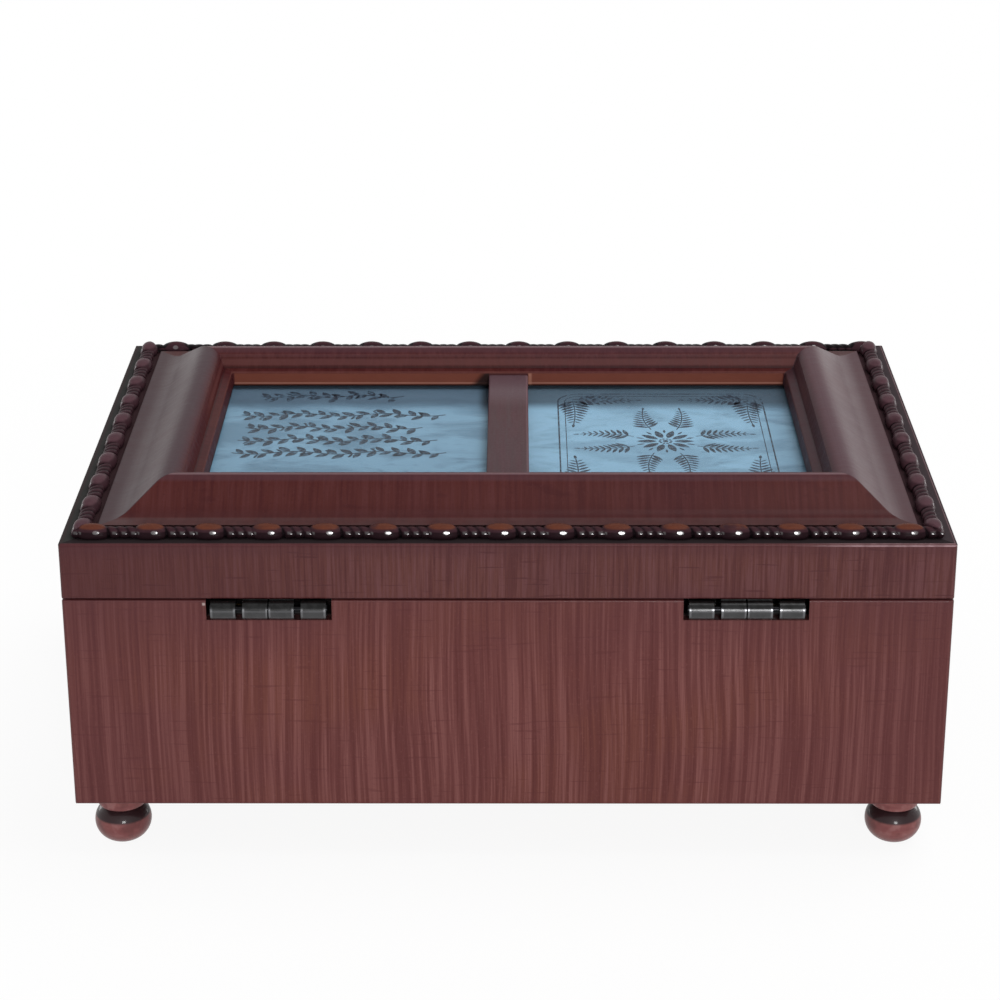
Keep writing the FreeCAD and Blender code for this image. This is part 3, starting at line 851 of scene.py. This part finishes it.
def spray(ink, foot, heading, length, leaves, bend):
    """A fern frond: a bent stem with pairs of leaves that shorten towards its tip."""
    points = [foot]
    for i in range(1, leaves + 1):
        points.append(around(points[-1], length / leaves, heading + bend * i / leaves))
    ink.stroke(points, 0.4 * MM)
    longest, shortening, lean, slim = 0.34, 0.75, 0.95, 0.3
    for i in range(1, leaves):
        share = i / leaves
        size = length * longest * (1.0 - shortening * share)
        for way in (1.0, -1.0):
            ink.leaf(points[i], heading + bend * share + way * lean, size, size * slim)
    ink.leaf(points[-1], heading + bend, length * 0.14, length * 0.05)


# ---- Operators


class KEEPSAKE_OT_walls(bpy.types.Operator):
    """Stains the four walls and the bottom panel"""

    bl_idname = "keepsake.walls"
    bl_label = "Walls and bottom"

    def execute(self, context):
        wood = context.scene.keepsake.wood
        colours = (wood.wall, wood.wall_light, wood.wall_dark, wood.wall_warm)
        stain = stained_wood("wall_wood", wood, colours, spacing=1.2, length=80, lean=5,
                             cross=0.4, strength=0.9, shade=wall_shade)
        dress([f"{side}_wall" for side in SIDES], stain)
        boards = (wood.panel, wood.wall_light, wood.wall, wood.panel)
        dress(["bottom_panel"], stained_wood("panel_wood", wood, boards, gloss=0.3))
        return {"FINISHED"}


class KEEPSAKE_OT_feet(bpy.types.Operator):
    """Stains and lacquers the four turned feet"""

    bl_idname = "keepsake.feet"
    bl_label = "Feet"

    def execute(self, context):
        wood = context.scene.keepsake.wood
        tree = new_material("foot_wood")
        x, y, z = tree.split_place()
        grain = tree.noise(tree.vector(x * 90.0, y * 90.0, z * 700.0), detail=3.0)
        patch = tree.grain(230.0)
        rubbed = patch.rise(0.46, 0.34) * z.step(3.0, 6.0)
        # Painted shade in the neck of the feet, under the box
        neck = z.span(7.9, 8.7, 11.9, 12.4)
        base = tree.paint(
            wood.foot,
            (grain.rise(0.42, 0.66) * 0.5, tint(128, 76, 72)),
            (patch.rise(0.48, 0.66) * 0.5, wood.wall_dark),
            (rubbed * 0.5, tint(142, 98, 96)),
            (neck * 0.95, wood.foot_dark),
        )
        coat = 0.3 + 0.15 * patch - 0.12 * neck
        lacquer = {"IOR": 1.25, "Coat Weight": coat, "Coat Roughness": 0.07}
        stain = tree.finish(base, 0.36 + 0.2 * patch, tree.bump(grain, 0.04), lacquer)
        dress([name for name in nodes if name.startswith("foot_")], stain)
        return {"FINISHED"}


class KEEPSAKE_OT_rails(bpy.types.Operator):
    """Stains the four rails of the lid"""

    bl_idname = "keepsake.rails"
    bl_label = "Lid rails"

    def execute(self, context):
        wood = context.scene.keepsake.wood
        colours = (wood.rail, wood.rail_light, wood.rail_dark, wood.rail_warm)
        stain = stained_wood("rail_wood", wood, colours, spacing=0.85, length=26, lean=1.8,
                             cross=0.7, strength=0.9, shade=rail_shade)
        dress([f"lid_{side}_rail" for side in SIDES], stain)
        return {"FINISHED"}


class KEEPSAKE_OT_mouldings(bpy.types.Operator):
    """Stains the picture-frame moulding and the bar between the panes"""

    bl_idname = "keepsake.mouldings"
    bl_label = "Mouldings and centre bar"

    def execute(self, context):
        wood = context.scene.keepsake.wood
        colours = (wood.moulding, wood.moulding_light, wood.moulding_dark, wood.moulding_warm)
        stain = stained_wood("moulding_wood", wood, colours, spacing=1.7, length=6, lean=2,
                             cross=0.35, strength=0.5, index=1.1, coat_rough=0.36, shade=moulding_shade)
        dress([f"{side}_moulding" for side in SIDES], stain)

        greys = [tint(58, 26, 33), tint(72, 40, 47), tint(44, 16, 22), tint(62, 27, 31)]
        bar = stained_wood("muntin_wood", wood, greys, spacing=1.1, length=30, lean=2,
                           cross=0.2, strength=0.5, index=1.18, shade=bar_shade)
        dress(["centre_muntin"], bar)
        return {"FINISHED"}


class KEEPSAKE_OT_rope_trim(bpy.types.Operator):
    """Carves the bead and rope trim along the rails"""

    bl_idname = "keepsake.rope_trim"
    bl_label = "Rope trim"

    def execute(self, context):
        wood = context.scene.keepsake.wood
        rope = context.scene.keepsake.rope
        stain = self.stain(wood, rope)
        for side in SIDES:
            rope_trim(side, rope, stain)
        return {"FINISHED"}

    def stain(self, wood, rope):
        """Dark hollows, brown ribs and beads, with a painted reflection as the brown on the tops of the
        back beads, and polished spots where the beads catch the light.
        """
        tree = new_material("rope_wood")
        _, _, z, along, inward, side, _ = mitred_place(tree)
        grain = tree.grain(420.0, 3.0)
        crest_patches = tree.grain(110.0).rise(0.25, 0.42)
        rear = side.rise(3.4, 3.6)
        front = side.rise(1.4, 1.6) * (1.0 - rear)
        ends = 1.0 - rear - front
        wider = 1.4
        flat_in = (inward - ROPE_IN) / wider
        radial = (flat_in * flat_in + (z - ROPE_Z) * (z - ROPE_Z)) ** 0.5
        low = 1.0 - z.step(0.7, 1.2, ROPE_Z)
        raised = radial.step(1.3, 1.6) * (0.85 - 0.6 * rear * low)
        # At the back the brown tops are a painted reflection; at the ends and the front they are the
        # colour of the tops
        crest = z.step(1.45, 2.0, ROPE_Z) * crest_patches
        top = tree.mix(front, tree.mix(rear, wood.rope_side, wood.rope), wood.rope_front)
        base = tree.paint(
            wood.rope_dark,
            (raised * (0.5 + 0.6 * grain), wood.rope_rib),
            (crest * (0.55 + 0.7 * grain), top),
        )

        # Glints: a spot on each large bead, short strokes on the ribs, the domes of the ends
        aside, above = 1.3 * MM, 0.9 * MM
        spot_at = front * rope.front_shift - rear * (rope.rear_shift + aside)
        spot_at = spot_at + ends * (MIDDLE_Y + rope.pitch / 2.0)
        turn = tree.maths("FRACT", (along - spot_at) / rope.pitch + 0.5)
        away = abs(turn - 0.5) * rope.pitch
        lift = z - ROPE_Z - above
        spot = ((away * away * 0.35 + lift * lift) ** 0.5).step(0.62, 0.42) * (1.0 - ends)
        strokes = away.step(4.0, 4.4) * radial.step(1.52, 1.6) * rear
        strokes = strokes * abs(lift + 0.4 * MM).step(0.6, 0.35)
        domes = away.step(4.2, 3.2) * inward.step(0.0, -0.8, ROPE_IN) * ends
        polish = abs(inward - ROPE_IN).step(0.6, 1.1) * z.span(0.1, 0.5, 1.7, 2.1, ROPE_Z)
        polish = polish * (spot + strokes * 0.7 + domes * 0.2)
        lacquer = {
            "IOR": 1.07,
            "Coat Weight": polish * (0.75 + 0.4 * grain),
            "Coat Roughness": 0.14,
            "Coat IOR": 1.9,
        }
        return tree.finish(base, 0.2 + 0.15 * grain, tree.bump(grain, 0.03, 0.35), lacquer)


class KEEPSAKE_OT_cards(bpy.types.Operator):
    """Makes the two cards with their printed ornament"""

    bl_idname = "keepsake.cards"
    bl_label = "Printed cards"

    def execute(self, context):
        glazing = context.scene.keepsake.glazing
        paper = self.paper(glazing)
        material = self.ink(glazing)
        for hand in HANDS:
            self.card(hand, glazing, paper)
        for hand, draw in (("right", self.garlands), ("left", self.medallion)):
            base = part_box(f"{hand}_card")[0].z + glazing.paper_thickness - HAIR
            ink = Print(base, glazing.ink_thickness)
            draw(ink)
            ink.finish(f"{hand}_card_print", material)
        return {"FINISHED"}

    def paper(self, glazing):
        tree = new_material("card_paper")
        x, y, _ = tree.split_place()
        streaks = tree.vector(x * 34.0, y * 70.0, 0.0)
        cloud = tree.noise(streaks, detail=4.0, roughness=0.6, distortion=0.6)
        dab = tree.noise(tree.vector(x * 240.0, y * 420.0, 3.0), detail=3.0)
        fibre = tree.grain(2600.0)
        right = x.step(-2, 2)
        # Painted shade towards the far side of the cards, under the front moulding
        far = y.step(-27, -36)
        # Painted shade along the outer edge of the card at -x, by the end moulding
        edge = x.step(-72, -90) * 0.55
        wash = cloud.rise(0.42, 0.62) * 0.4 + dab.rise(0.55, 0.75) * 0.25
        # A painted shadow on the card beside the centre bar
        beside = x.span(0.0, 1.0, 7.0, 10.5) * y.step(-22, -36)
        base = tree.paint(
            glazing.paper,
            (wash + right * 0.4 + edge, glazing.paper_dark),
            (far * 0.85, tree.mix(right, tint(64, 80, 94), tint(80, 102, 122))),
            (beside * 0.8, tint(24, 32, 42)),
            (fibre.rise(0.6, 0.8) * 0.12, tint(226, 236, 240)),
        )
        normal = tree.bump(fibre, 0.02)
        return tree.finish(base, 0.62 + 0.15 * fibre, normal, {"Specular IOR Level": 0.25})

    def ink(self, glazing):
        tree = new_material("card_ink")
        press = tree.grain(700.0, 3.0)
        base = tree.mix(press.rise(0.4, 0.75) * 0.7, glazing.ink, glazing.paper_dark)
        normal = tree.bump(press, 0.02)
        return tree.finish(base, 0.5 + 0.2 * press, normal, {"Specular IOR Level": 0.3})

    def card(self, hand, glazing, paper):
        low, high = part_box(f"{hand}_card")
        bm = box_mesh(low, (high.x, high.y, low.z + glazing.paper_thickness))
        upright = [e for e in bm.edges if abs(e.verts[0].co.z - e.verts[1].co.z) > HAIR]
        corner = 1.2 * MM
        bmesh.ops.bevel(bm, geom=upright, offset=corner, segments=4, affect="EDGES")
        piece = finish_mesh(f"{hand}_card_sheet", bm, paper, "lid", smooth=False)
        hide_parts(f"{hand}_card")

    def garlands(self, ink):
        """Rows of leaves: where each row runs, and how far in it starts, in millimetres."""
        left, right = 10.0 * MM, 88.0 * MM
        rows = ((-40.5, 24.0), (-24.0, 10.0), (-13.0, 17.0), (-2.5, 12.0), (8.0, 9.0), (30.0, 9.0))
        for index, (middle, inset) in enumerate(rows):
            start, end = left + inset * MM, right - inset * 0.3 * MM
            garland(ink, start, end, middle * MM, 1.2 * MM, index)

    def medallion(self, ink):
        """A rosette with a ring of fronds and a frond beside each corner, in a double border."""
        centre = (-49.0 * MM, -1.5 * MM)
        for inset, width in ((0.0, 0.5), (2.2, 0.28)):
            reach, deep, radius = [(length - inset) * MM for length in (33.0, 41.0, 7.0)]
            ruled_border(ink, centre, reach, deep, radius, width * MM)
        rosette(ink, centre, 9.0 * MM, 10)
        for turn in range(8):
            heading = math.radians(turn * 45.0 + 22.5)
            foot = around(centre, 10.5 * MM, heading)
            spray(ink, foot, heading, 17.0 * MM, 9, 0.5 if turn % 2 else -0.5)
        for sx, sy in ((-1.0, -1.0), (-1.0, 1.0), (1.0, -1.0), (1.0, 1.0)):
            foot = (centre[0] + sx * 28.5 * MM, centre[1] + sy * 36.5 * MM)
            spray(ink, foot, math.atan2(-sy * 0.2, -sx), 20.0 * MM, 9, -0.25 * sx * sy)
            spray(ink, foot, math.atan2(-sy, -sx * 0.15), 22.0 * MM, 10, 0.25 * sx * sy)


class KEEPSAKE_OT_panes(bpy.types.Operator):
    """Gives the two panes clear glass with faint smudges"""

    bl_idname = "keepsake.panes"
    bl_label = "Glass panes"

    def execute(self, context):
        haze = context.scene.keepsake.glazing.glass_haze
        tree = new_material("glass")
        smudge = tree.grain(38.0, 4.0, distortion=0.8)
        facing = tree.get("ShaderNodeLayerWeight", None, {"Blend": 0.5}, "Facing")
        alpha = haze + facing ** 3.0 * 0.2 + smudge.rise(0.55, 0.8) * 0.02
        rough = 0.03 + 0.08 * smudge.rise(0.5, 0.8)
        glass = tree.finish((0.02, 0.03, 0.035, 1.0), rough, None, {"Alpha": alpha})
        dress([f"{hand}_glass" for hand in HANDS], glass)
        return {"FINISHED"}


class KEEPSAKE_OT_linings(bpy.types.Operator):
    """Makes the padded velvet linings of the box and of the lid"""

    bl_idname = "keepsake.linings"
    bl_label = "Velvet linings"

    def execute(self, context):
        soft = context.scene.keepsake.soft
        tree = new_material("velvet")
        pile = tree.grain(2400.0)
        stroke = tree.grain(38.0, 3.0, distortion=0.5)
        base = tree.paint(
            soft.velvet,
            (stroke.rise(0.3, 0.7) * 0.45, soft.velvet_dark),
            (pile.rise(0.45, 0.7) * 0.4, soft.velvet_dark),
        )
        sheen = {
            "Specular IOR Level": 0.1,
            "Sheen Weight": 0.5,
            "Sheen Roughness": 0.35,
            "Sheen Tint": (0.85, 0.35, 0.4, 1.0),
        }
        normal = tree.bump(pile + stroke * 0.5, 0.25, 0.6)
        velvet = tree.finish(base, 0.85 + 0.1 * pile, normal, sheen)
        padded_board("floor_velvet", "floor_lining", velvet, "box", soft)
        for side in SIDES:
            padded_board(f"{side}_wall_velvet", f"{side}_wall_lining", velvet, "box", soft)
        padded_board("lid_velvet", "lid_lining", velvet, "lid", soft)
        return {"FINISHED"}


class KEEPSAKE_OT_board(bpy.types.Operator):
    """Finishes the backing board behind the cards"""

    bl_idname = "keepsake.board"
    bl_label = "Backing board"

    def execute(self, context):
        tree = new_material("board")
        fibre = tree.grain(900.0, 4.0, roughness=0.7)
        base = tree.mix(fibre.rise(0.35, 0.7), tint(132, 104, 78), tint(98, 74, 54))
        normal = tree.bump(fibre, 0.1)
        board = tree.finish(base, 0.8 + 0.1 * fibre, normal, {"Specular IOR Level": 0.2})
        dress(["backing_board"], board)
        return {"FINISHED"}


class KEEPSAKE_OT_hinges(bpy.types.Operator):
    """Gives the hinge leaves, pins and screws their metals"""

    bl_idname = "keepsake.hinges"
    bl_label = "Hinges"

    def execute(self, context):
        metal = context.scene.keepsake.metal
        steel = self.metal("hinge_steel", metal.steel, metal.steel_dark, True)
        dress([f"{hand}_hinge_{part}_leaf" for hand in HANDS for part in ("body", "lid")], steel)
        pin = self.metal("pin_steel", tint(20, 20, 22), tint(9, 9, 10))
        dress([f"{hand}_hinge_pin" for hand in HANDS], pin)
        brass = self.metal("screw_brass", metal.brass, tint(96, 70, 40))
        dress(["body_hinge_screws", "lid_hinge_screws"], brass)
        return {"FINISHED"}

    def metal(self, name, light, dark, barrel=False):
        """Brushed metal. A barrel has a painted reflection that makes it darker above its axis, and
        painted highlights at its joints and just above its axis.
        """
        tree = new_material(name)
        x, y, z = tree.split_place()
        brush = tree.noise(tree.vector(x * 120.0, y * 2600.0, z * 2600.0), detail=3.0)
        stain_and_reflection = tree.grain(520.0, 3.0).rise(0.4, 0.7) * 0.5
        if barrel:
            # Painted reflection: a barrel is darker above its axis and paler below it
            stain_and_reflection = z.step(0.2, 0.9, AXIS_Z) * 0.85 + stain_and_reflection * 0.4
        base = tree.mix(stain_and_reflection, light, dark)
        if barrel:
            along = abs(abs(x) - HINGE_X)
            # A painted highlight line just above the axis
            wear_and_highlight = z.near(AXIS_Z + 0.6 * MM, 0.4) * 0.14
            # Painted highlights: from the barrel's middle to its joints and ends, and how bright each
            # is
            for joint, share in ((0.4, 0.3), (7.0, 0.35), (9.6, 0.25), (16.1, 0.3)):
                wear_and_highlight = wear_and_highlight + along.near(joint * MM, 0.45) * z.near(AXIS_Z, 2.0) * share
            base = tree.mix(tree.maths("MINIMUM", wear_and_highlight, 0.7), base, tint(150, 150, 154))
        return tree.finish(base, 0.16 + 0.16 * brush, tree.bump(brush, 0.02, 0.4), {"Metallic": 0.9})


class KEEPSAKE_OT_stage(bpy.types.Operator):
    """Sets the floor, the light and the camera"""

    bl_idname = "keepsake.stage"
    bl_label = "Stage"

    def execute(self, context):
        settings = context.scene.keepsake.stage
        self.world(settings)
        self.floor(settings)
        # Heading from the box, distance and size in metres, and power
        self.lamp("key", (-0.12, 0.94, 0.3), 3.0, 0.6, settings.key_power)
        self.lamp("fill", (-0.35, -0.1, 0.93), 2.5, 1.6, settings.fill_power)
        for hand, way in zip(HANDS, (-1.0, 1.0)):
            self.lamp(f"front_{hand}", (0.75 * way, -0.66, 0.1), 3.0, 0.7, settings.front_power)
        self.camera()
        context.scene.view_settings.view_transform = "Standard"
        return {"FINISHED"}

    def seen_directly(self, tree):
        """1 for rays that show the background itself: camera, glossy and transmission rays."""
        path = tree.add("ShaderNodeLightPath")
        seen = Value(tree, path.outputs["Is Camera Ray"])
        for kind in ("Is Glossy Ray", "Is Transmission Ray"):
            seen = seen.larger(Value(tree, path.outputs[kind]))
        return seen

    def world(self, settings):
        world = bpy.data.worlds.new("studio")
        bpy.context.scene.world = world
        tree = ShaderTree(world)
        strength = settings.ambient + self.seen_directly(tree) * (1.0 - settings.ambient)
        inputs = {"Color": (1.0, 1.0, 1.0, 1.0), "Strength": strength}
        tree.output(tree.get("ShaderNodeBackground", None, inputs))

    def floor(self, settings):
        """A white floor that keeps the object's shadow, most of all close to it."""
        tree = new_material("floor")
        diffuse = tree.get("ShaderNodeBsdfDiffuse", None, {"Color": (0.9, 0.9, 0.9, 1.0)})
        glow = tree.get("ShaderNodeEmission", None, {"Color": (1.0, 1.0, 1.0, 1.0), "Strength": 1.0})
        x, y, _ = tree.split_place()
        away = ((x * x + y * y) ** 0.5).step(150, 500)
        shadow = 0.09  # how much of the lit floor shows close to the box
        share = self.seen_directly(tree) * (1.0 - shadow + shadow * away)
        tree.output(tree.get("ShaderNodeMixShader", None, {0: share, 1: diffuse, 2: glow}))
        mesh = bpy.data.meshes.new("floor")
        reach = settings.floor_size / 2.0
        corners = ((-reach, -reach), (reach, -reach), (reach, reach), (-reach, reach))
        mesh.from_pydata([(*corner, 0.0) for corner in corners], [], [(0, 1, 2, 3)])
        mesh.materials.append(tree.owner)
        floor = place_object("floor", mesh)
        floor.location.z = -5.0 * HAIR

    def lamp(self, name, heading, distance, size, power):
        """A square lamp at that distance in metres from the box, and facing it."""
        lamp = bpy.data.lights.new(name, "AREA")
        lamp.size = size
        lamp.energy = power
        holder = place_object(name, lamp)
        direction = Vector(heading).normalized()
        holder.location = Vector((0.0, 0.0, 60 * MM)) + direction * distance
        holder.rotation_euler = direction.to_track_quat("Z", "Y").to_euler()

    def camera(self):
        """A camera behind the box. Its focal length is in pixels of a render 1000 pixels wide."""
        pixels = 1000.0
        focal = 2641.0
        pitch, yaw, roll = (math.radians(a) for a in (21.07, 0.36, -0.143))
        data = bpy.data.cameras.new("camera")
        data.sensor_width = 36.0
        data.lens = focal * data.sensor_width / pixels
        data.shift_y = -0.1
        data.clip_end = 50.0
        camera = place_object("camera", data)
        level = Vector((-math.cos(yaw), -math.sin(yaw), 0.0))
        forward = Vector((math.sin(yaw), -math.cos(yaw), 0.0)) * math.cos(pitch)
        forward.z = -math.sin(pitch)
        above = level.cross(forward)
        right = level * math.cos(roll) + above * math.sin(roll)
        turn = Matrix((right, right.cross(forward), -forward)).transposed()
        stand = (-2.3 * MM, 761.2 * MM, 406.6 * MM)
        camera.matrix_world = Matrix.Translation(stand) @ turn.to_4x4()
        bpy.context.scene.camera = camera


class KEEPSAKE_PT_panel(bpy.types.Panel):
    """Lists the pieces of the keepsake box"""

    bl_idname = "KEEPSAKE_PT_panel"
    bl_label = "Keepsake Box"
    bl_space_type = "VIEW_3D"
    bl_region_type = "UI"
    bl_category = "Keepsake"

    def draw(self, context):
        for operator in OPERATORS:
            self.layout.operator(operator.bl_idname)
        settings = context.scene.keepsake
        for group in ("wood", "rope", "glazing", "soft", "metal", "stage"):
            box = self.layout.box()
            box.label(text=group)
            part = getattr(settings, group)
            for name in part.__annotations__:
                box.prop(part, name)


OPERATORS = (
    KEEPSAKE_OT_walls,
    KEEPSAKE_OT_feet,
    KEEPSAKE_OT_rails,
    KEEPSAKE_OT_mouldings,
    KEEPSAKE_OT_rope_trim,
    KEEPSAKE_OT_cards,
    KEEPSAKE_OT_panes,
    KEEPSAKE_OT_linings,
    KEEPSAKE_OT_board,
    KEEPSAKE_OT_hinges,
    KEEPSAKE_OT_stage,
)

CLASSES = (
    KeepsakeWood,
    KeepsakeRope,
    KeepsakeGlazing,
    KeepsakeSoft,
    KeepsakeMetal,
    KeepsakeStage,
    KeepsakeSettings,
    *OPERATORS,
    KEEPSAKE_PT_panel,
)


def register():
    for each in CLASSES:
        bpy.utils.register_class(each)
    bpy.types.Scene.keepsake = group_setting(
        "Keepsake box", "Sizes and colours of the keepsake box", KeepsakeSettings)


def unregister():
    del bpy.types.Scene.keepsake
    for each in reversed(CLASSES):
        bpy.utils.unregister_class(each)


def main():
    register()
    for operator in OPERATORS:
        group, name = operator.bl_idname.split(".")
        getattr(getattr(bpy.ops, group), name)()
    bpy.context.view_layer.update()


if __name__ == "__main__":
    main()
